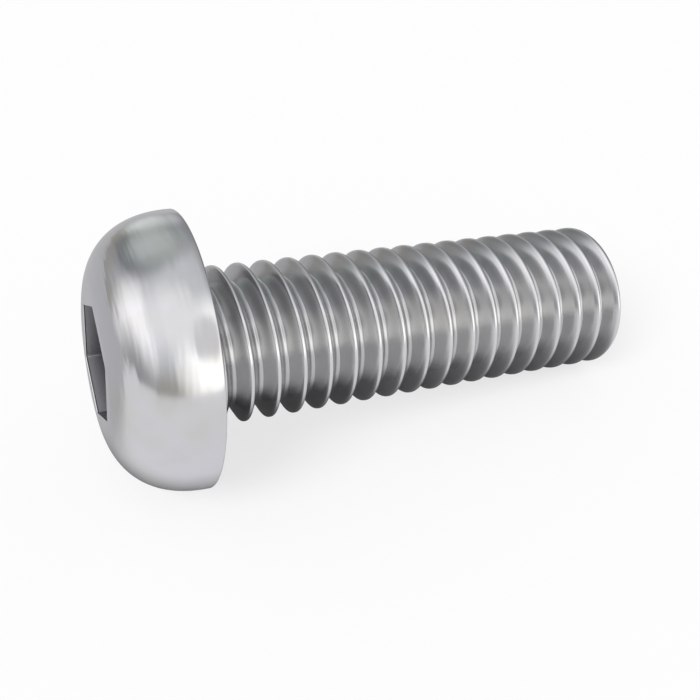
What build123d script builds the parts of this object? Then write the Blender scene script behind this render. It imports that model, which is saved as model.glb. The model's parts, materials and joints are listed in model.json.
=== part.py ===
"""Button head screw, M6 x 1 x 18 mm, with a hexagon socket.

One forged and rolled piece: a domed head with a level crown and a blind
hexagon socket, a short plain neck filleted to the bearing face, and a shank
with a right-hand thread down to its chamfered end.

The screw is first modelled upright: the axis is Z, the bearing face lies at
Z = 0, the crown is above it and the tip is at Z = -shank_length. It is then
laid down as it comes to rest on a flat surface, on the rim of its head and on
the end of its thread: the tip points to +X, the surface is Z = 0 and the origin
is the middle of the bottom of its bounding box.
"""

import os
from math import atan, ceil, cos, floor, radians, sin, tan

from build123d import *

# ---- Driving dimensions, in millimetres and degrees ----

# Head
head_diameter = 10.34
head_height = 3.3
crown_land = 0.01            # level ring between the socket's corners and the dome
crown_reach = 0.61           # how far out the dome's curve leans level
shoulder_drop = 0.37         # crown to the height where the side leans upright
rim_chamfer = 0.03           # broken edge between the side and the bearing face

# Hexagon socket, for a 4 mm key
socket_across_flats = 4.02
socket_key_depth = 2.1       # straight depth that the key can use
socket_floor_depth = 0.45    # depth of the conical floor below it
socket_corner_radius = 0.06  # rounding that the punch leaves in the corners
socket_mouth_chamfer = 0.05

# Neck under the head
neck_step = 0.31             # from the crests in to the neck, on one side
neck_fillet_reach = 0.36     # how far the soft fillet runs along either face
neck_plain_length = 0.04     # between the fillet and the thread

# Shank and thread
shank_length = 18.0
thread_diameter = 5.97       # over the crests
thread_pitch = 1.0
flank_angle = 30.0           # of each flank, from a plane square to the axis
crest_width = 0.11
root_width = 0.167
first_crest = 0.4            # bearing face to a crest, measured on the +X side
run_in_angle = 55.0          # where the first crest rises from the neck
run_out_angle = 30.0         # where the groove comes up to the neck
end_chamfer = 0.3
cutter_overlap = 0.05        # how far cutting and joining shapes pass a surface

# ---- Worked-out sizes ----

# A rounding of the socket's corners draws them in by its radius times what a
# sharp corner reaches past its own inscribed circle.
socket_inradius = socket_across_flats / 2
corner_stretch = 1 / cos(radians(30))
socket_corner_reach = (
    socket_inradius * corner_stretch - socket_corner_radius * (corner_stretch - 1)
)
crown_flat_radius = socket_corner_reach + socket_mouth_chamfer + crown_land
head_radius = head_diameter / 2

# The groove is what one pitch leaves between two crests.
groove_half_width = (thread_pitch - crest_width) / 2
root_half_width = root_width / 2
flank_slope = tan(radians(flank_angle))
thread_depth = (groove_half_width - root_half_width) / flank_slope
crest_radius = thread_diameter / 2
root_radius = crest_radius - thread_depth
cutter_radius = crest_radius + cutter_overlap
cutter_half_width = groove_half_width + cutter_overlap * flank_slope

# The run-in cone rises from the neck to the crests. The run-out cone closes the
# groove from its root up to the neck, and starts a little below the root.
neck_radius = crest_radius - neck_step
neck_length = neck_fillet_reach + neck_plain_length
run_in_length = neck_step / tan(radians(run_in_angle))
run_out_radius = root_radius - cutter_overlap
run_out_length = (neck_radius - run_out_radius) / tan(radians(run_out_angle))

# The groove lies half a pitch away from the crests. It is cut turn by turn,
# from a full turn clear of the tip to a full turn clear of the neck.
turns_in_shank = ceil(shank_length / thread_pitch)
first_turn = -(first_crest + (turns_in_shank + 1.5) * thread_pitch)
turn_starts = [first_turn + turn * thread_pitch for turn in range(turns_in_shank + 3)]

# Lying down, the rim above its chamfer touches the surface, and so does the
# thread below the axis, half a turn away from the +X side. It does so at its
# last full crest or at the next one, where the end chamfer cuts its flank.
lower_crest = first_crest + thread_pitch / 2
chamfer_start = shank_length - end_chamfer
full_turns = floor((chamfer_start - crest_width / 2 - lower_crest) / thread_pitch)
full_crest_end = lower_crest + full_turns * thread_pitch + crest_width / 2
cut_crest_start = full_crest_end + thread_pitch - crest_width
cut_depth = max(cut_crest_start - chamfer_start, 0) / (1 + flank_slope)
rim_drop = head_radius - crest_radius
full_crest_slope = rim_drop / (rim_chamfer + full_crest_end)
cut_crest_slope = (rim_drop + cut_depth) / (rim_chamfer + chamfer_start + cut_depth)
resting_tilt = atan(min(full_crest_slope, cut_crest_slope))

# ---- One turn of the thread groove ----

# Its axial section, swept along one turn of a right-hand helix
with BuildPart() as groove_turn:
    with BuildLine() as turn_path:
        Helix(pitch=thread_pitch, height=thread_pitch, radius=crest_radius)
    with BuildSketch(Plane.XZ):
        with BuildLine():
            Polyline(
                (root_radius, -root_half_width),
                (cutter_radius, -cutter_half_width),
                (cutter_radius, cutter_half_width),
                (root_radius, root_half_width),
                close=True,
            )
        make_face()
    sweep(path=turn_path.line, is_frenet=True)

# ---- The screw, upright ----

with BuildPart() as upright_screw:
    # Threaded shank before its groove: run-in cone, crests and end chamfer
    with BuildSketch(Plane.XZ):
        with BuildLine():
            Polyline(
                (0, -neck_length),
                (neck_radius, -neck_length),
                (crest_radius, -neck_length - run_in_length),
                (crest_radius, -shank_length + end_chamfer),
                (crest_radius - end_chamfer, -shank_length),
                (0, -shank_length),
                close=True,
            )
        make_face()
    revolve(axis=Axis.Z)

    # Thread groove, from past the tip to past the neck
    with Locations(*[(0, 0, turn_start) for turn_start in turn_starts]):
        add(groove_turn.part, mode=Mode.SUBTRACT)

    # Head and neck, turned in one profile from the crown to the groove's end
    with BuildSketch(Plane.XZ):
        with BuildLine():
            Line((0, head_height), (crown_flat_radius, head_height))
            Bezier(
                (crown_flat_radius, head_height),
                (crown_flat_radius + crown_reach, head_height),
                (head_radius, head_height - shoulder_drop),
                (head_radius, rim_chamfer),
            )
            Polyline(
                (head_radius, rim_chamfer),
                (head_radius - rim_chamfer, 0),
                (neck_radius + neck_fillet_reach, 0),
            )
            Bezier(
                (neck_radius + neck_fillet_reach, 0),
                (neck_radius, 0),
                (neck_radius, -neck_fillet_reach),
            )
            Polyline(
                (neck_radius, -neck_fillet_reach),
                (neck_radius, -neck_length),
                (run_out_radius, -neck_length - run_out_length),
                (0, -neck_length - run_out_length),
                (0, head_height),
            )
        make_face()
    revolve(axis=Axis.Z)

    # Hexagon socket, one corner on the +X side
    with BuildSketch(Plane.XY.offset(head_height)) as socket_outline:
        RegularPolygon(socket_inradius, 6, major_radius=False)
        fillet(socket_outline.vertices(), socket_corner_radius)
    extrude(amount=-socket_key_depth, mode=Mode.SUBTRACT)

    # Conical floor left by the punch
    with BuildSketch(Plane.XZ):
        with BuildLine():
            Polyline(
                (0, head_height - socket_key_depth),
                (socket_inradius, head_height - socket_key_depth),
                (0, head_height - socket_key_depth - socket_floor_depth),
                close=True,
            )
        make_face()
    revolve(axis=Axis.Z, mode=Mode.SUBTRACT)

    crown_face = upright_screw.faces().sort_by(Axis.Z)[-1]
    chamfer(crown_face.inner_wires()[0].edges(), socket_mouth_chamfer)

# ---- The screw, at rest ----

# The axis dips to the tip by the resting tilt, and the upright model's +X side
# is uppermost.
lying_up = Vector(sin(resting_tilt), 0, cos(resting_tilt))
lying_axis = Vector(-cos(resting_tilt), 0, sin(resting_tilt))
lying_plane = Plane(origin=(0, 0, 0), x_dir=lying_up, z_dir=lying_axis)
extent = upright_screw.part.moved(lying_plane.location).bounding_box()
resting_plane = Plane(
    origin=(-extent.center().X, -extent.center().Y, -extent.min.Z),
    x_dir=lying_up,
    z_dir=lying_axis,
)

with BuildPart(resting_plane) as button_head_screw:
    add(upright_screw.part)

button_head_screw.part.label = "button_head_screw"

os.makedirs("parts", exist_ok=True)
export_step(button_head_screw.part, "parts/button_head_screw.step")
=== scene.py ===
"""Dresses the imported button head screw: its fine surface, steel, floor, light and camera.

The screw is modelled upright in millimetres: its axis is Z, the bearing face of
the head lies at Z = 0, the crown is above it and the tip below. It is then laid
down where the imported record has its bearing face.
"""

from __future__ import annotations

import json
import logging
from dataclasses import dataclass, field
from enum import Enum
from math import atan2, ceil, cos, floor, hypot, pi, radians, sin, tan

import bmesh
import bpy
from mathutils import Matrix, Vector
from mathutils.geometry import interpolate_bezier


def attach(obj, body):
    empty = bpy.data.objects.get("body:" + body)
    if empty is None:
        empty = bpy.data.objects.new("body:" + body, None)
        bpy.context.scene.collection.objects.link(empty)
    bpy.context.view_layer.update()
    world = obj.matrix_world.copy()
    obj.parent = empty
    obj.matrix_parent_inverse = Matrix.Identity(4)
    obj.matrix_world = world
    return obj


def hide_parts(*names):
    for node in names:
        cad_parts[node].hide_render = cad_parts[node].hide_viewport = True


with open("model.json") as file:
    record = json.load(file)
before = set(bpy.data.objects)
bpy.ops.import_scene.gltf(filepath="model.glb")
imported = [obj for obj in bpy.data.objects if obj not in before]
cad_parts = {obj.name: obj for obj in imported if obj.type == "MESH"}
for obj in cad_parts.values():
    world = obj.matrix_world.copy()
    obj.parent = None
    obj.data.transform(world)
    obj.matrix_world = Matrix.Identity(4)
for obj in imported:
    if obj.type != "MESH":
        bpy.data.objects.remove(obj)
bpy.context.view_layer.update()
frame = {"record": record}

LOG = logging.getLogger("button_head_screw")
MM = 0.001
NODE_NAME = "button_head_screw"
SLOT_NAME = "bright_steel"
WELD = 0.0002          # vertices nearer than this, in millimetres, are one
CUT_MARGIN = 0.3       # millimetres past a cone's ends that its cuts still reach
BEVEL_PROFILE = 0.5    # a round edge


def pointing(heading: float, height: float) -> Vector:
    """Finds a direction.

    Args:
        heading: degrees from +Y towards +X.
        height: degrees above level.

    Returns:
        The unit vector that points there.
    """
    level = cos(radians(height))
    return Vector(
        (sin(radians(heading)) * level, cos(radians(heading)) * level, sin(radians(height)))
    )


# ---- Shader nodes ----


class Value:
    """A number that varies over a surface: one node socket, used in expressions."""

    def __init__(self, nodes: NodeBook, socket: bpy.types.NodeSocket) -> None:
        """Wraps a socket.

        Args:
            nodes: the book that adds nodes to the same tree.
            socket: the output that carries the number.
        """
        self.nodes = nodes
        self.socket = socket

    def _math(self, operation: str, *terms: Value | float) -> Value:
        """Adds a Math node.

        Args:
            operation: the node's operation.
            terms: its inputs in order.

        Returns:
            Its result.
        """
        inputs = {index: term for index, term in enumerate(terms)}
        return self.nodes.value("ShaderNodeMath", {"operation": operation}, inputs)

    def __add__(self, other: Value | float) -> Value:
        """Returns self + other."""
        return self._math("ADD", self, other)

    def __radd__(self, other: float) -> Value:
        """Returns other + self."""
        return self._math("ADD", other, self)

    def __sub__(self, other: Value | float) -> Value:
        """Returns self - other."""
        return self._math("SUBTRACT", self, other)

    def __rsub__(self, other: float) -> Value:
        """Returns other - self."""
        return self._math("SUBTRACT", other, self)

    def __mul__(self, other: Value | float) -> Value:
        """Returns self * other."""
        return self._math("MULTIPLY", self, other)

    def __rmul__(self, other: float) -> Value:
        """Returns other * self."""
        return self._math("MULTIPLY", other, self)

    def __truediv__(self, other: Value | float) -> Value:
        """Returns self / other."""
        return self._math("DIVIDE", self, other)

    def __pow__(self, other: float) -> Value:
        """Returns self ** other."""
        return self._math("POWER", self, other)

    def largest(self, other: Value | float) -> Value:
        """Returns the larger of the two."""
        return self._math("MAXIMUM", self, other)

    def fade(self, start: float, end: float) -> Value:
        """Rises smoothly from 0 to 1.

        Args:
            start: the number that gives 0.
            end: the number that gives 1, larger or smaller than start.

        Returns:
            The smooth step between them.
        """
        settings = {"interpolation_type": "SMOOTHSTEP"}
        inputs = {"Value": self, "From Min": start, "From Max": end}
        return self.nodes.value("ShaderNodeMapRange", settings, inputs, "Result")


class NodeBook:
    """Adds nodes to one node tree."""

    def __init__(self, tree: bpy.types.NodeTree) -> None:
        """Starts with an empty tree.

        Args:
            tree: the tree of a material or a world.
        """
        self.tree = tree
        tree.nodes.clear()

    def add(
        self, kind: str, settings: dict[str, object], inputs: dict[str | int, object]
    ) -> bpy.types.Node:
        """Adds a node.

        Args:
            kind: the node's type.
            settings: its settings, which are set before its sockets.
            inputs: values or links of its input sockets, by name or index.

        Returns:
            The node.
        """
        node = self.tree.nodes.new(kind)
        for name, setting in settings.items():
            setattr(node, name, setting)
        for name, given in inputs.items():
            if isinstance(given, Value):
                given = given.socket
            if isinstance(given, bpy.types.NodeSocket):
                self.tree.links.new(given, node.inputs[name])
            else:
                node.inputs[name].default_value = given
        return node

    def value(
        self,
        kind: str,
        settings: dict[str, object],
        inputs: dict[str | int, object],
        output: str | int = 0,
    ) -> Value:
        """Adds a node and wraps one of its outputs.

        Args:
            kind: the node's type.
            settings: its settings.
            inputs: values or links of its input sockets.
            output: the output to wrap.

        Returns:
            The output as a value.
        """
        return Value(self, self.add(kind, settings, inputs).outputs[output])

    def blend(self, share: Value, first: object, second: object) -> bpy.types.NodeSocket:
        """Mixes two colours.

        Args:
            share: how much of the second, from 0 to 1.
            first: a colour or the socket of one.
            second: a colour or the socket of one.

        Returns:
            The mixed colour's socket.
        """
        settings = {"data_type": "RGBA", "blend_type": "MIX"}
        colour_inputs = {0: share, 6: first, 7: second}
        return self.add("ShaderNodeMix", settings, colour_inputs).outputs[2]

    def ray_kinds(self) -> tuple[Value, Value, Value]:
        """Tells the kinds of ray apart.

        Returns:
            Whether a ray is the camera's, a reflection's or one through glass.
        """
        rays = self.add("ShaderNodeLightPath", {}, {}).outputs
        kinds = ("Is Camera Ray", "Is Glossy Ray", "Is Transmission Ray")
        seen, mirrored, through = (Value(self, rays[kind]) for kind in kinds)
        return seen, mirrored, through


# ---- Finishes ----


@dataclass(frozen=True)
class BrightSteel:
    """Bright steel: polished head, rolled thread with burnished crests, punched socket. The darker
    flanks are partly rolled tone and partly painted shade in the grooves; the socket's dark colour
    is painted shade.
    """

    colour: tuple[float, float, float, float] = (0.68, 0.68, 0.70, 1.0)
    cloud_colour: tuple[float, float, float, float] = (0.64, 0.63, 0.61, 1.0)
    # flanks and roots: partly rolled tone, partly painted shade in the grooves
    rolled_tone_and_groove_shade_colour: tuple[float, float, float, float] = (0.51, 0.51, 0.51, 1.0)
    crest_colour: tuple[float, float, float, float] = (0.69, 0.69, 0.69, 1.0)
    # painted shade in the socket's recess
    socket_painted_shade_colour: tuple[float, float, float, float] = (0.32, 0.32, 0.33, 1.0)
    head_roughness: float = 0.14
    thread_roughness: float = 0.2
    socket_roughness: float = 0.3
    cloud_roughness: float = 0.05
    cloud_per_mm: float = 0.45
    cloud_detail: float = 3.0
    cloud_edges: tuple[float, float] = (0.35, 0.7)
    cloud_on_flanks: float = 0.4   # how much of a cloud the flanks show
    band_round: float = 1.2        # how much the bands change on their way round
    band_per_mm: float = 1.3       # and from the crown to the rim
    band_detail: float = 2.0
    band_height_mm: float = 0.035
    grain_per_mm: float = 14.0
    grain_detail: float = 4.0
    grain_height_mm: float = 0.0003
    shank_edges_mm: tuple[float, float] = (0.05, -0.05)     # along the axis
    crest_edges_mm: tuple[float, float] = (-0.04, -0.015)   # from the crests outwards
    flank_edges_mm: tuple[float, float] = (-0.02, -0.12)
    mouth_edges_mm: tuple[float, float] = (0.01, -0.02)     # from the socket's mouth
    depth_edges_mm: tuple[float, float] = (-0.03, -0.08)    # from the crown

    def material(
        self, place: RestingPlace, head: Head, thread: Thread
    ) -> bpy.types.Material:
        """Makes the node material.

        Args:
            place: where the screw's own axes lie in the row frame.
            head: the head, whose socket is darkened with painted shade.
            thread: the thread, whose crests have their own finish and whose flanks are darker,
                partly rolled tone and partly painted shade.

        Returns:
            The material.
        """
        made = bpy.data.materials.new(SLOT_NAME)
        made.use_nodes = True
        nodes = NodeBook(made.node_tree)
        coordinates = nodes.add("ShaderNodeTexCoord", {}, {}).outputs["Object"]
        own_axes = nodes.add(
            "ShaderNodeMapping",
            {"vector_type": "TEXTURE"},
            {
                "Vector": coordinates,
                "Location": place.origin,
                "Rotation": place.turn.to_euler(),
                "Scale": (MM, MM, MM),
            },
        ).outputs["Vector"]
        parts = nodes.add("ShaderNodeSeparateXYZ", {}, {"Vector": own_axes}).outputs
        across, side, along = (Value(nodes, socket) for socket in parts)
        radius = (across * across + side * side) ** 0.5
        on_shank = along.fade(*self.shank_edges_mm)
        crest = radius.fade(*(thread.crest_radius + edge for edge in self.crest_edges_mm))
        crest = crest * on_shank
        flank = radius.fade(*(thread.crest_radius + edge for edge in self.flank_edges_mm))
        flank = flank * on_shank
        inside = radius.fade(*(head.socket.mouth_reach + edge for edge in self.mouth_edges_mm))
        inside = inside * along.fade(*(head.height + edge for edge in self.depth_edges_mm))
        in_socket = inside * (1.0 - on_shank)

        cloud = self._speckle(nodes, own_axes, self.cloud_per_mm, self.cloud_detail)
        cloud = cloud.fade(*self.cloud_edges)
        # Soft bands run round the head, as the die and the tumbling leave them.
        band_place = nodes.add(
            "ShaderNodeCombineXYZ",
            {},
            {
                "X": across / radius * self.band_round,
                "Y": side / radius * self.band_round,
                "Z": (radius - along) * self.band_per_mm,
            },
        ).outputs["Vector"]
        band = self._speckle(nodes, band_place, 1.0, self.band_detail)
        grain = self._speckle(nodes, own_axes, self.grain_per_mm, self.grain_detail)
        colour = nodes.blend(cloud, self.colour, self.cloud_colour)
        # Flanks and roots are darker: partly the rolled tone, partly painted shade in the grooves.
        flank_tone_and_shade_share = flank * (1.0 - cloud * self.cloud_on_flanks)
        colour = nodes.blend(flank_tone_and_shade_share, colour, self.rolled_tone_and_groove_shade_colour)
        colour = nodes.blend(crest, colour, self.crest_colour)
        # The socket's dark colour is painted shade in the recess.
        colour = nodes.blend(in_socket, colour, self.socket_painted_shade_colour)
        roughness = self.head_roughness + on_shank * (self.thread_roughness - self.head_roughness)
        roughness = roughness + in_socket * (self.socket_roughness - self.head_roughness)
        roughness = roughness + cloud * self.cloud_roughness
        on_dome = 1.0 - on_shank.largest(in_socket)
        height = band * on_dome * self.band_height_mm + grain * self.grain_height_mm
        relief = nodes.add(
            "ShaderNodeBump", {}, {"Strength": 1.0, "Distance": MM, "Height": height}
        ).outputs["Normal"]
        surface = nodes.add(
            "ShaderNodeBsdfPrincipled",
            {},
            {
                "Base Color": colour,
                "Metallic": 1.0,
                "Roughness": roughness,
                "Normal": relief,
            },
        ).outputs["BSDF"]
        nodes.add("ShaderNodeOutputMaterial", {}, {"Surface": surface})
        return made

    @staticmethod
    def _speckle(
        nodes: NodeBook, place: bpy.types.NodeSocket, per_mm: float, detail: float
    ) -> Value:
        """Adds a smooth random pattern.

        Args:
            nodes: the material's nodes.
            place: the position that it follows.
            per_mm: how many spots to a millimetre.
            detail: how many finer layers it has.

        Returns:
            A number about 0.5 all over.
        """
        inputs = {"Vector": place, "Scale": per_mm, "Detail": detail, "Roughness": 0.5}
        return nodes.value("ShaderNodeTexNoise", {"noise_dimensions": "3D"}, inputs, "Fac")


@dataclass(frozen=True)
class PalePaper:
    """Matt white paper for the floor.

    In the steel's reflections it carries painted shade: it is darker all over,
    darker still towards the room's unlit side, and a painted shadow lies close
    to the screw.
    """

    colour: tuple[float, float, float, float] = (0.96, 0.96, 0.96, 1.0)
    # Colours of the floor in the steel's reflections only: painted shade and a painted shadow.
    painted_reflected_shade_colour: tuple[float, float, float, float] = (0.88, 0.88, 0.91, 1.0)
    painted_far_shade_colour: tuple[float, float, float, float] = (0.54, 0.54, 0.56, 1.0)
    painted_contact_shadow_colour: tuple[float, float, float, float] = (0.2, 0.2, 0.21, 1.0)
    white: tuple[float, float, float, float] = (1.0, 1.0, 1.0, 1.0)
    roughness: float = 0.9
    seen_lift: float = 0.7         # share of plain white where it is a backdrop
    mirrored_lift: float = 0.02    # share of plain white in the steel's reflections
    painted_shade_heading: float = 10.0      # degrees from +Y towards +X
    painted_shade_start_mm: float = -4.9     # along the heading, from the origin
    painted_shade_end_mm: float = -0.2
    contact_shadow_half_length_mm: float = 8.0
    contact_shadow_near_mm: float = 1.7
    contact_shadow_far_mm: float = 5.6
    fibres_per_m: float = 400.0
    fibre_detail: float = 2.0
    fibre_roughness: float = 0.05
    shine: float = 0.1

    def material(self) -> bpy.types.Material:
        """Makes the node material.

        Returns:
            The material.
        """
        made = bpy.data.materials.new("pale_paper")
        made.use_nodes = True
        nodes = NodeBook(made.node_tree)
        coordinates = nodes.add("ShaderNodeTexCoord", {}, {}).outputs["Object"]
        seen, mirrored, through = nodes.ray_kinds()
        parts = nodes.add("ShaderNodeSeparateXYZ", {}, {"Vector": coordinates}).outputs
        along, away = (Value(nodes, parts[name]) / MM for name in ("X", "Y"))
        # Painted shade in the steel's reflections: the floor darkens towards the room's unlit
        # side.
        heading = radians(self.painted_shade_heading)
        toward_dark = along * sin(heading) + away * cos(heading)
        painted_far_shade = toward_dark.fade(self.painted_shade_start_mm, self.painted_shade_end_mm) * mirrored
        # Painted shadow in the steel's reflections: the floor darkens close to the screw, along
        # its length.
        past_end = along.largest(0.0 - along) - self.contact_shadow_half_length_mm
        past_end = past_end.largest(0.0)
        distance = (past_end * past_end + away * away) ** 0.5
        painted_contact_shadow = distance.fade(self.contact_shadow_far_mm, self.contact_shadow_near_mm) * mirrored
        # In reflections the floor is darker all over: painted shade.
        colour = nodes.blend(mirrored, self.colour, self.painted_reflected_shade_colour)
        colour = nodes.blend(painted_far_shade, colour, self.painted_far_shade_colour)
        colour = nodes.blend(painted_contact_shadow, colour, self.painted_contact_shadow_colour)
        fibre = nodes.value(
            "ShaderNodeTexNoise",
            {"noise_dimensions": "3D"},
            {"Vector": coordinates, "Scale": self.fibres_per_m, "Detail": self.fibre_detail},
            "Fac",
        )
        roughness = self.roughness - fibre * self.fibre_roughness
        surface = nodes.add(
            "ShaderNodeBsdfPrincipled",
            {},
            {"Base Color": colour, "Roughness": roughness, "Specular IOR Level": self.shine},
        ).outputs["BSDF"]
        plain = nodes.add("ShaderNodeEmission", {}, {"Color": self.white}).outputs["Emission"]
        lift = seen.largest(through) * self.seen_lift + mirrored * self.mirrored_lift
        lifted = nodes.add("ShaderNodeMixShader", {}, {0: lift, 1: surface, 2: plain})
        nodes.add("ShaderNodeOutputMaterial", {}, {"Surface": lifted.outputs["Shader"]})
        return made


# ---- Mesh helpers ----


class ConeUse(Enum):
    """What a cone about the axis does to the thread."""

    TRIM = "metal outside the cone is cut back to it"
    FILL = "space inside the cone is filled up to it"


@dataclass(frozen=True)
class Cone:
    """A cone about the screw's axis, over a stretch of it, in millimetres."""

    start_z: float
    start_radius: float
    spread: float
    low_z: float
    high_z: float
    use: ConeUse

    def radius(self, z: float) -> float:
        """Returns the cone's radius at a height."""
        return self.start_radius + self.spread * (z - self.start_z)

    def shape(self, mesh: bmesh.types.BMesh, steps: int) -> None:
        """Cuts the thread's faces along the cone, then moves what passes it onto it.

        Args:
            mesh: the thread, swept in steps that start on the X axis.
            steps: how many steps make a turn.
        """
        step_angle = 2 * pi / steps
        sectors: dict[int, list[bmesh.types.BMFace]] = {}
        for face in mesh.faces:
            centre = face.calc_center_median()
            if self.low_z - CUT_MARGIN < centre.z < self.high_z + CUT_MARGIN:
                sector = floor(atan2(centre.y, centre.x) / step_angle)
                sectors.setdefault(sector, []).append(face)
        for sector, faces in sectors.items():
            middle = (sector + 0.5) * step_angle
            chord = cos(step_angle / 2)
            outward = Vector((cos(middle), sin(middle), 0.0))
            slant = outward - Vector((0.0, 0.0, chord * self.spread))
            point = outward * (chord * self.start_radius) + Vector((0.0, 0.0, self.start_z))
            edges = dict.fromkeys(edge for face in faces for edge in face.edges)
            verts = dict.fromkeys(vert for face in faces for vert in face.verts)
            bmesh.ops.bisect_plane(
                mesh,
                geom=list(verts) + list(edges) + faces,
                dist=WELD,
                plane_co=point,
                plane_no=slant.normalized(),
            )
        for vert in mesh.verts:
            if not self.low_z - WELD <= vert.co.z <= self.high_z + WELD:
                continue
            reach = hypot(vert.co.x, vert.co.y)
            limit = self.radius(vert.co.z)
            passes = reach > limit if self.use is ConeUse.TRIM else reach < limit
            if passes and reach > 0:
                vert.co.x *= limit / reach
                vert.co.y *= limit / reach


def draw_chain(
    mesh: bmesh.types.BMesh, points: list[tuple[float, float]]
) -> tuple[list[bmesh.types.BMVert], list[bmesh.types.BMEdge]]:
    """Draws an open line in the XZ plane.

    Args:
        mesh: the mesh to draw in.
        points: radius and height of each vertex, in order.

    Returns:
        The vertices and the edges, in order.
    """
    verts = [mesh.verts.new((radius, 0.0, height)) for radius, height in points]
    edges = [mesh.edges.new(pair) for pair in zip(verts, verts[1:])]
    return verts, edges


def round_corners(
    mesh: bmesh.types.BMesh,
    verts: list[bmesh.types.BMVert],
    reach: float,
    segments: int,
) -> None:
    """Rounds corners of a flat line.

    Args:
        mesh: the mesh that holds the line.
        verts: the corners.
        reach: how far each rounding runs along its two sides.
        segments: edges in each rounding.
    """
    bmesh.ops.bevel(
        mesh,
        geom=verts,
        offset=reach,
        offset_type="OFFSET",
        segments=segments,
        profile=BEVEL_PROFILE,
        affect="VERTICES",
        material=-1,
    )


def open_loop(mesh: bmesh.types.BMesh, height: float) -> list[bmesh.types.BMEdge]:
    """Finds the edges that bound the mesh at a height.

    Args:
        mesh: the mesh.
        height: where the loop lies.

    Returns:
        Its edges.
    """
    return [
        edge
        for edge in mesh.edges
        if len(edge.link_faces) < 2 and all(abs(v.co.z - height) < WELD for v in edge.verts)
    ]


def fill_level_ring(mesh: bmesh.types.BMesh, height: float, between: float) -> None:
    """Joins two loops that lie one inside the other at the same height.

    Args:
        mesh: the mesh that holds them.
        height: where they lie.
        between: a radius between the two.
    """
    edges = open_loop(mesh, height)
    verts = dict.fromkeys(vert for edge in edges for vert in edge.verts)
    inner = [vert for vert in verts if hypot(vert.co.x, vert.co.y) < between]
    # Loops about one centre match the right way round only at unlike heights.
    bmesh.ops.translate(mesh, verts=inner, vec=(0.0, 0.0, -1.0))
    bmesh.ops.bridge_loops(mesh, edges=edges)
    bmesh.ops.translate(mesh, verts=inner, vec=(0.0, 0.0, 1.0))


# ---- The screw's sub-assemblies ----


@dataclass(frozen=True)
class RestingPlace:
    """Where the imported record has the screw's own axes, in metres."""

    origin: Vector
    axis_to_tip: Vector

    @classmethod
    def from_record(cls, record: dict) -> RestingPlace:
        """Reads the bearing face's mount.

        Args:
            record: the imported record.

        Returns:
            The place.
        """
        mount = next(m for m in record["mounts"] if m["name"] == "bearing_face")
        return cls(Vector(mount["pos_m"]), Vector(mount["axis"]).normalized())

    @property
    def turn(self) -> Matrix:
        """The turn from the upright screw's axes to the row frame's."""
        to_crown = -self.axis_to_tip
        across = Vector((0.0, 1.0, 0.0))
        upper = across.cross(to_crown)
        return Matrix((upper, across, to_crown)).transposed()

    @property
    def matrix(self) -> Matrix:
        """The move from the upright screw, in millimetres, to the row frame, in metres."""
        return Matrix.Translation(self.origin) @ self.turn.to_4x4() @ Matrix.Scale(MM, 4)


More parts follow.
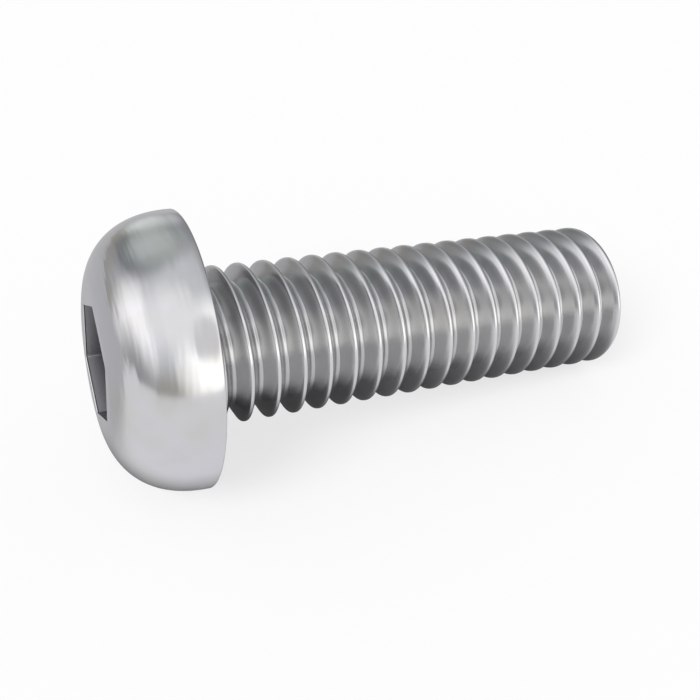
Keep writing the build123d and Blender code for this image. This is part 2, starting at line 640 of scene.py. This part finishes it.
@dataclass
class Socket:
    """Blind hexagon socket for a 4 mm key, one corner uppermost."""

    across_flats: float = 4.02
    key_depth: float = 2.1
    floor_depth: float = 0.45
    corner_radius: float = 0.06
    mouth_round: float = 0.05
    corner_segments: int = 4
    side_segments: int = 28
    mouth_segments: int = 4
    floor_share: float = 0.985

    @property
    def inradius(self) -> float:
        """Half the width across flats."""
        return self.across_flats / 2

    @property
    def corner_reach(self) -> float:
        """How far the rounded corners reach from the axis."""
        stretch = 1 / cos(radians(30))
        return self.inradius * stretch - self.corner_radius * (stretch - 1)

    @property
    def mouth_reach(self) -> float:
        """How far the rounded mouth reaches from the axis."""
        return self.corner_reach + self.mouth_round

    @property
    def edge_count(self) -> int:
        """Edges round the outline."""
        return 6 * (self.corner_segments + self.side_segments)

    def sink(self, mesh: bmesh.types.BMesh, crown_height: float) -> None:
        """Builds the mouth, walls and floor.

        Args:
            mesh: the mesh to build in.
            crown_height: height of the crown's flat.
        """
        outline = bmesh.new()
        corner_distance = self.inradius / cos(radians(30))
        upright = Matrix.Translation((0.0, 0.0, crown_height)) @ Matrix.Rotation(pi / 2, 4, "Z")
        bmesh.ops.create_circle(
            outline, cap_ends=False, radius=corner_distance, segments=6, matrix=upright
        )
        corner_run = self.corner_radius * tan(radians(30))
        round_corners(outline, outline.verts[:], corner_run, self.corner_segments)
        sides = [e for e in outline.edges if e.calc_length() > self.inradius / 2]
        bmesh.ops.subdivide_edges(outline, edges=sides, cuts=self.side_segments - 1)
        # The outline is widened to the mouth's edge, then drawn in and down.
        ring = outline.edges[:]
        self._spread(outline.verts[:], self.mouth_round)
        for step in range(1, self.mouth_segments + 1):
            turn_before = pi / 2 * (step - 1) / self.mouth_segments
            turn = pi / 2 * step / self.mouth_segments
            inward = self.mouth_round * (sin(turn_before) - sin(turn))
            drop = self.mouth_round * (cos(turn_before) - cos(turn))
            ring = self._step_down(outline, ring, inward, drop)
        ring = self._step_down(outline, ring, 0.0, self.key_depth - self.mouth_round)
        floor_plane = Matrix.Translation((0.0, 0.0, crown_height - self.key_depth))
        bmesh.ops.create_circle(
            outline,
            cap_ends=True,
            cap_tris=True,
            radius=self.inradius * self.floor_share,
            segments=self.edge_count,
            matrix=floor_plane,
        )
        between = self.inradius * (1 + self.floor_share) / 2
        fill_level_ring(outline, crown_height - self.key_depth, between)
        for vert in outline.verts:
            if hypot(vert.co.x, vert.co.y) < WELD:
                vert.co.z -= self.floor_depth
        pour(outline, mesh)

    def _spread(self, verts: list[bmesh.types.BMVert], distance: float) -> None:
        """Moves an outline's vertices outwards, in proportion.

        Args:
            verts: the outline's vertices.
            distance: how far the flats move.
        """
        factor = 1 + distance / self.inradius
        for vert in verts:
            vert.co.x *= factor
            vert.co.y *= factor

    def _step_down(
        self,
        mesh: bmesh.types.BMesh,
        ring: list[bmesh.types.BMEdge],
        inward: float,
        drop: float,
    ) -> list[bmesh.types.BMEdge]:
        """Extrudes a ring down the socket.

        Args:
            mesh: the mesh that holds the ring.
            ring: its edges.
            inward: how far the flats move, outwards if positive.
            drop: how far it goes down.

        Returns:
            The new ring's edges.
        """
        level = ring[0].verts[0].co.z - drop
        flats = self._flat_distance(ring)
        made = bmesh.ops.extrude_edge_only(mesh, edges=ring)["geom"]
        verts = [item for item in made if isinstance(item, bmesh.types.BMVert)]
        edges = [item for item in made if isinstance(item, bmesh.types.BMEdge)]
        factor = 1 + inward / flats
        for vert in verts:
            vert.co.x *= factor
            vert.co.y *= factor
            vert.co.z -= drop
        return [e for e in edges if all(abs(v.co.z - level) < WELD for v in e.verts)]

    @staticmethod
    def _flat_distance(ring: list[bmesh.types.BMEdge]) -> float:
        """Returns how near a ring's vertices come to the axis."""
        return min(hypot(v.co.x, v.co.y) for edge in ring for v in edge.verts)


@dataclass
class Head:
    """Domed head with its bearing face."""

    socket: Socket
    diameter: float = 10.34
    height: float = 3.3
    crown_land: float = 0.01
    crown_reach: float = 0.61
    shoulder_drop: float = 0.37
    rim_round: float = 0.03
    dome_points: int = 40
    rim_segments: int = 4

    @property
    def radius(self) -> float:
        """Half the diameter."""
        return self.diameter / 2

    @property
    def crown_radius(self) -> float:
        """Radius of the crown's flat."""
        return self.socket.mouth_reach + self.crown_land

    def dome_line(self) -> list[tuple[float, float]]:
        """Draws the dome's line.

        Returns:
            Radius and height of its points, from the crown's flat to the rim.
        """
        curve = interpolate_bezier(
            Vector((self.crown_radius, self.height, 0.0)),
            Vector((self.crown_radius + self.crown_reach, self.height, 0.0)),
            Vector((self.radius, self.height - self.shoulder_drop, 0.0)),
            Vector((self.radius, self.rim_round, 0.0)),
            self.dome_points,
        )
        return [(point.x, point.y) for point in curve]


@dataclass
class Neck:
    """Short plain neck between the bearing face and the thread."""

    step: float = 0.31
    fillet_reach: float = 0.36
    plain_length: float = 0.04
    fillet_segments: int = 8
    join_gap: float = 0.02

    @property
    def length(self) -> float:
        """From the bearing face to the thread."""
        return self.fillet_reach + self.plain_length


@dataclass
class Thread:
    """Rolled M6 x 1 right-hand thread down to the chamfered tip."""

    neck: Neck
    length: float = 18.0
    diameter: float = 5.97
    pitch: float = 1.0
    flank_angle: float = 30.0
    crest_width: float = 0.11
    root_width: float = 0.167
    first_crest: float = 0.4
    run_in_angle: float = 55.0
    run_out_angle: float = 30.0
    end_chamfer: float = 0.3
    crest_round: float = 0.03
    root_round: float = 0.05
    round_segments: int = 3
    flank_rows: int = 3
    steps: int = 96

    @property
    def depth(self) -> float:
        """From crest to root, on one side."""
        flank_width = (self.pitch - self.crest_width - self.root_width) / 2
        return flank_width / tan(radians(self.flank_angle))

    @property
    def crest_radius(self) -> float:
        """Radius over the crests."""
        return self.diameter / 2

    @property
    def root_radius(self) -> float:
        """Radius at the roots."""
        return self.crest_radius - self.depth

    @property
    def neck_radius(self) -> float:
        """Radius of the neck."""
        return self.crest_radius - self.neck.step

    def _section(self, mesh: bmesh.types.BMesh) -> None:
        """Draws the thread's section along the whole shank, with rounded corners.

        Args:
            mesh: the mesh to draw in.
        """
        half_crest = self.crest_width / 2
        half_root = self.root_width / 2
        turns = ceil(self.length / self.pitch) + 1
        lowest = -(self.first_crest + turns * self.pitch)
        corners = []
        for turn in range(turns + 1):
            crest = lowest + turn * self.pitch
            root = crest + self.pitch / 2
            corners += [
                (self.crest_radius, crest - half_crest),
                (self.crest_radius, crest + half_crest),
                (self.root_radius, root - half_root),
                (self.root_radius, root + half_root),
            ]
        verts, _ = draw_chain(mesh, corners)
        crest_corners = [v for v in verts[1:-1] if v.co.x > self.neck_radius]
        root_corners = [v for v in verts[1:-1] if v.co.x < self.neck_radius]
        round_corners(mesh, crest_corners, self.crest_round, self.round_segments)
        round_corners(mesh, root_corners, self.root_round, self.round_segments)
        flanks = [e for e in mesh.edges if abs(e.verts[0].co.x - e.verts[1].co.x) > self.depth / 2]
        bmesh.ops.subdivide_edges(mesh, edges=flanks, cuts=self.flank_rows - 1)

    def cones(self) -> list[Cone]:
        """Works out the cones at the two ends of the thread.

        Returns:
            The end chamfer, the run-in and the run-out.
        """
        top = -self.neck.length
        chamfer_start = -self.length + self.end_chamfer
        run_in = tan(radians(self.run_in_angle))
        run_out = tan(radians(self.run_out_angle))
        fill_length = (self.neck_radius - self.root_radius) / run_out
        return [
            Cone(
                chamfer_start, self.crest_radius, 1.0, -self.length, chamfer_start, ConeUse.TRIM
            ),
            Cone(top, self.neck_radius, -run_in, top - self.neck.step / run_in, top, ConeUse.TRIM),
            Cone(top, self.neck_radius, run_out, top - fill_length, top, ConeUse.FILL),
        ]

    def roll(self, mesh: bmesh.types.BMesh) -> None:
        """Builds the thread from the neck to the closed tip.

        Args:
            mesh: the mesh to build in.
        """
        rolled = bmesh.new()
        self._section(rolled)
        bmesh.ops.spin(
            rolled,
            geom=rolled.verts[:] + rolled.edges[:],
            cent=(0.0, 0.0, 0.0),
            axis=(0.0, 0.0, 1.0),
            dvec=(0.0, 0.0, self.pitch / self.steps),
            angle=2 * pi,
            steps=self.steps,
            use_merge=False,
            use_duplicate=False,
        )
        bmesh.ops.remove_doubles(rolled, verts=rolled.verts[:], dist=WELD)
        self._cut_level(rolled, -self.neck.length, keep_above=False)
        self._cut_level(rolled, -self.length, keep_above=True)
        for cone in self.cones():
            cone.shape(rolled, self.steps)
        bmesh.ops.remove_doubles(rolled, verts=rolled.verts[:], dist=WELD)
        bmesh.ops.contextual_create(rolled, geom=open_loop(rolled, -self.length))
        pour(rolled, mesh)

    @staticmethod
    def _cut_level(mesh: bmesh.types.BMesh, height: float, keep_above: bool) -> None:
        """Cuts the mesh off square to the axis.

        Args:
            mesh: the mesh to cut.
            height: where to cut it.
            keep_above: whether the part above stays, or the one below.
        """
        bmesh.ops.bisect_plane(
            mesh,
            geom=mesh.verts[:] + mesh.edges[:] + mesh.faces[:],
            dist=WELD,
            plane_co=(0.0, 0.0, height),
            plane_no=(0.0, 0.0, 1.0),
            clear_inner=keep_above,
            clear_outer=not keep_above,
        )


def pour(source: bmesh.types.BMesh, target: bmesh.types.BMesh) -> None:
    """Adds a finished sub-assembly's mesh to another mesh.

    Args:
        source: the mesh to add, which is freed.
        target: the mesh that receives it.
    """
    carrier = bpy.data.meshes.new("carrier")
    source.to_mesh(carrier)
    source.free()
    target.from_mesh(carrier)
    bpy.data.meshes.remove(carrier)


@dataclass
class Screw:
    """The whole screw, one piece of steel."""

    place: RestingPlace
    steel: BrightSteel = field(default_factory=BrightSteel)
    crease_angle: float = 32.0

    def __post_init__(self) -> None:
        """Sets the sub-assemblies against each other."""
        self.socket = Socket()
        self.head = Head(self.socket)
        self.neck = Neck()
        self.thread = Thread(self.neck)

    def _turn_head(self, mesh: bmesh.types.BMesh) -> None:
        """Builds the head's dome, rim, bearing face and neck by turning their line.

        Args:
            mesh: the mesh to build in.
        """
        turned = bmesh.new()
        line = self.head.dome_line()
        rim_start = len(line) - 1
        line[rim_start] = (self.head.radius, 0.0)
        neck_corner = (self.thread.neck_radius, 0.0)
        neck_end = (self.thread.neck_radius, -self.neck.length + self.neck.join_gap)
        verts, _ = draw_chain(turned, line + [neck_corner, neck_end])
        rim, corner = verts[rim_start], verts[rim_start + 1]
        round_corners(turned, [corner], self.neck.fillet_reach, self.neck.fillet_segments)
        round_corners(turned, [rim], self.head.rim_round, self.head.rim_segments)
        bmesh.ops.spin(
            turned,
            geom=turned.verts[:] + turned.edges[:],
            cent=(0.0, 0.0, 0.0),
            axis=(0.0, 0.0, 1.0),
            dvec=(0.0, 0.0, 0.0),
            angle=2 * pi,
            steps=self.socket.edge_count,
            use_merge=True,
            use_duplicate=False,
        )
        pour(turned, mesh)

    def forge(self) -> bpy.types.Object:
        """Builds the screw's mesh, lays it down and makes it an object.

        Returns:
            The object.
        """
        mesh = bmesh.new()
        self._turn_head(mesh)
        self.socket.sink(mesh, self.head.height)
        self.thread.roll(mesh)
        between = self.head.crown_radius - self.head.crown_land / 2
        fill_level_ring(mesh, self.head.height, between)
        neck_end = -self.neck.length + self.neck.join_gap
        joint = open_loop(mesh, neck_end) + open_loop(mesh, -self.neck.length)
        bmesh.ops.bridge_loops(mesh, edges=joint)
        bmesh.ops.recalc_face_normals(mesh, faces=mesh.faces[:])
        bmesh.ops.transform(mesh, matrix=self.place.matrix, verts=mesh.verts[:])
        made = bpy.data.meshes.new("screw")
        mesh.to_mesh(made)
        LOG.info(
            "screw: %d faces, %d open edges",
            len(mesh.faces),
            sum(1 for edge in mesh.edges if not edge.is_manifold),
        )
        mesh.free()
        made.shade_smooth()
        made.set_sharp_from_angle(angle=radians(self.crease_angle))
        piece = bpy.data.objects.new("screw", made)
        bpy.context.scene.collection.objects.link(piece)
        even_light = piece.modifiers.new("even_light", "WEIGHTED_NORMAL")
        even_light.keep_sharp = True
        return piece

    def dress(self, piece: bpy.types.Object) -> None:
        """Gives the screw its steel and its place in the frame.

        Args:
            piece: the screw's object.
        """
        piece.data.materials.append(self.steel.material(self.place, self.head, self.thread))
        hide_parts(NODE_NAME)
        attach(piece, "root")


# ---- The studio ----


@dataclass(frozen=True)
class SoftBox:
    """A pale or dark panel far round the screw, seen only in its reflections."""

    heading: float      # degrees from +Y towards +X
    height: float       # degrees above the floor
    half_width: float   # degrees
    softness: float     # degrees
    colour: tuple[float, float, float, float]


@dataclass
class Studio:
    """Plain pale floor, even light, one broad key and the room in reflections."""

    paper: PalePaper = field(default_factory=PalePaper)
    floor_size: float = 6.0
    white: tuple[float, float, float, float] = (1.0, 1.0, 1.0, 1.0)
    even_colour: tuple[float, float, float, float] = (0.6, 0.6, 0.6, 1.0)
    low_colour: tuple[float, float, float, float] = (0.38, 0.37, 0.35, 1.0)
    high_colour: tuple[float, float, float, float] = (0.75, 0.77, 0.81, 1.0)
    high_start: float = 0.55       # height of a unit vector that reaches it
    key_share: float = 0.4         # of plain light on the floor
    key_heading: float = -125.0
    key_height: float = 42.0
    key_angle: float = 30.0
    panels: tuple[SoftBox, ...] = (
        SoftBox(-15.0, 40.0, 18.5, 42.0, (0.06, 0.07, 0.08, 1.0)),
        SoftBox(-91.0, 19.5, 21.5, 44.5, (1.48, 1.47, 1.52, 1.0)),
        SoftBox(156.5, 22.0, 33.0, 44.5, (1.68, 1.68, 1.66, 1.0)),
        SoftBox(5.5, 13.5, 8.0, 23.0, (1.00, 1.06, 1.06, 1.0)),
        SoftBox(-98.0, -11.5, 25.0, 38.0, (0.29, 0.29, 0.31, 1.0)),
        SoftBox(-6.5, 43.5, 17.5, 29.0, (0.60, 0.65, 0.64, 1.0)),
        SoftBox(164.5, 41.0, 16.5, 9.5, (0.83, 0.82, 0.84, 1.0)),
        SoftBox(-143.0, 61.0, 21.5, 25.0, (1.11, 1.11, 1.16, 1.0)),
        SoftBox(71.5, -4.0, 59.0, 43.5, (0.20, 0.19, 0.20, 1.0)),
    )

    def lay_floor(self) -> bpy.types.Object:
        """Lays the floor.

        Returns:
            The floor.
        """
        sheet = bmesh.new()
        bmesh.ops.create_grid(sheet, x_segments=1, y_segments=1, size=self.floor_size / 2)
        made = bpy.data.meshes.new("floor")
        sheet.to_mesh(made)
        sheet.free()
        made.materials.append(self.paper.material())
        floor_piece = bpy.data.objects.new("floor", made)
        bpy.context.scene.collection.objects.link(floor_piece)
        return floor_piece

    def fill_room(self) -> None:
        """Makes the world: even light, a white backdrop and the panels in reflections."""
        room = bpy.data.worlds.new("room")
        room.use_nodes = True
        bpy.context.scene.world = room
        nodes = NodeBook(room.node_tree)
        direction = nodes.add("ShaderNodeTexCoord", {}, {}).outputs["Generated"]
        seen, mirrored, through = nodes.ray_kinds()
        height = Value(
            nodes, nodes.add("ShaderNodeSeparateXYZ", {}, {"Vector": direction}).outputs["Z"]
        )
        rise = height.fade(0.0, self.high_start)
        reflected = nodes.blend(rise, self.low_colour, self.high_colour)
        for panel in self.panels:
            toward = nodes.value(
                "ShaderNodeVectorMath",
                {"operation": "DOT_PRODUCT"},
                {0: direction, 1: pointing(panel.heading, panel.height)},
                "Value",
            )
            rim = cos(radians(panel.half_width + panel.softness / 2))
            core = cos(radians(max(panel.half_width - panel.softness / 2, 0.0)))
            reflected = nodes.blend(toward.fade(rim, core), reflected, panel.colour)
        plain = nodes.blend(seen.largest(through), self.even_colour, self.white)
        colour = nodes.blend(mirrored, plain, reflected)
        light = nodes.add(
            "ShaderNodeBackground", {}, {"Color": colour, "Strength": 1.0}
        ).outputs["Background"]
        nodes.add("ShaderNodeOutputWorld", {}, {"Surface": light})

    def hang_key(self) -> bpy.types.Object:
        """Hangs the broad key lamp.

        Returns:
            The lamp's object.
        """
        lamp = bpy.data.lights.new("key", "SUN")
        lamp.energy = self.key_share * pi / sin(radians(self.key_height))
        lamp.angle = radians(self.key_angle)
        key = bpy.data.objects.new("key", lamp)
        toward = pointing(self.key_heading, self.key_height)
        key.rotation_euler = toward.to_track_quat("Z", "Y").to_euler()
        key.visible_glossy = False
        bpy.context.scene.collection.objects.link(key)
        return key

    def build(self) -> None:
        """Builds the floor, the light and the view settings."""
        self.lay_floor()
        self.fill_room()
        self.hang_key()
        bpy.context.scene.view_settings.view_transform = "Standard"


@dataclass(frozen=True)
class CameraStand:
    """The camera's place, from the point that it looks at."""

    aim_mm: tuple[float, float, float] = (-0.961, -0.693, 3.680)
    distance_mm: float = 36.81
    heading: float = 23.156      # degrees from +Y towards +X
    dip: float = 37.564          # degrees below level
    lens_mm: float = 47.945
    sensor_mm: float = 36.0
    nearest_mm: float = 1.0
    farthest_mm: float = 100000.0

    def set_up(self) -> bpy.types.Object:
        """Sets the camera up and makes it the scene's own.

        Returns:
            The camera.
        """
        eye = bpy.data.cameras.new("camera")
        eye.lens = self.lens_mm
        eye.sensor_width = self.sensor_mm
        eye.clip_start = self.nearest_mm * MM
        eye.clip_end = self.farthest_mm * MM
        gaze = pointing(self.heading, -self.dip)
        camera = bpy.data.objects.new("camera", eye)
        camera.location = (Vector(self.aim_mm) - gaze * self.distance_mm) * MM
        camera.rotation_euler = gaze.to_track_quat("-Z", "Y").to_euler()
        bpy.context.scene.collection.objects.link(camera)
        bpy.context.scene.camera = camera
        return camera


def main() -> None:
    """Builds the screw and the studio round it."""
    logging.basicConfig(level=logging.INFO, format="%(message)s")
    screw = Screw(RestingPlace.from_record(frame["record"]))
    piece = screw.forge()
    screw.dress(piece)
    LOG.info("dressed %s in %s", piece.name, SLOT_NAME)
    Studio().build()
    CameraStand().set_up()
    LOG.info("studio and camera are set")


if __name__ == "__main__":
    main()
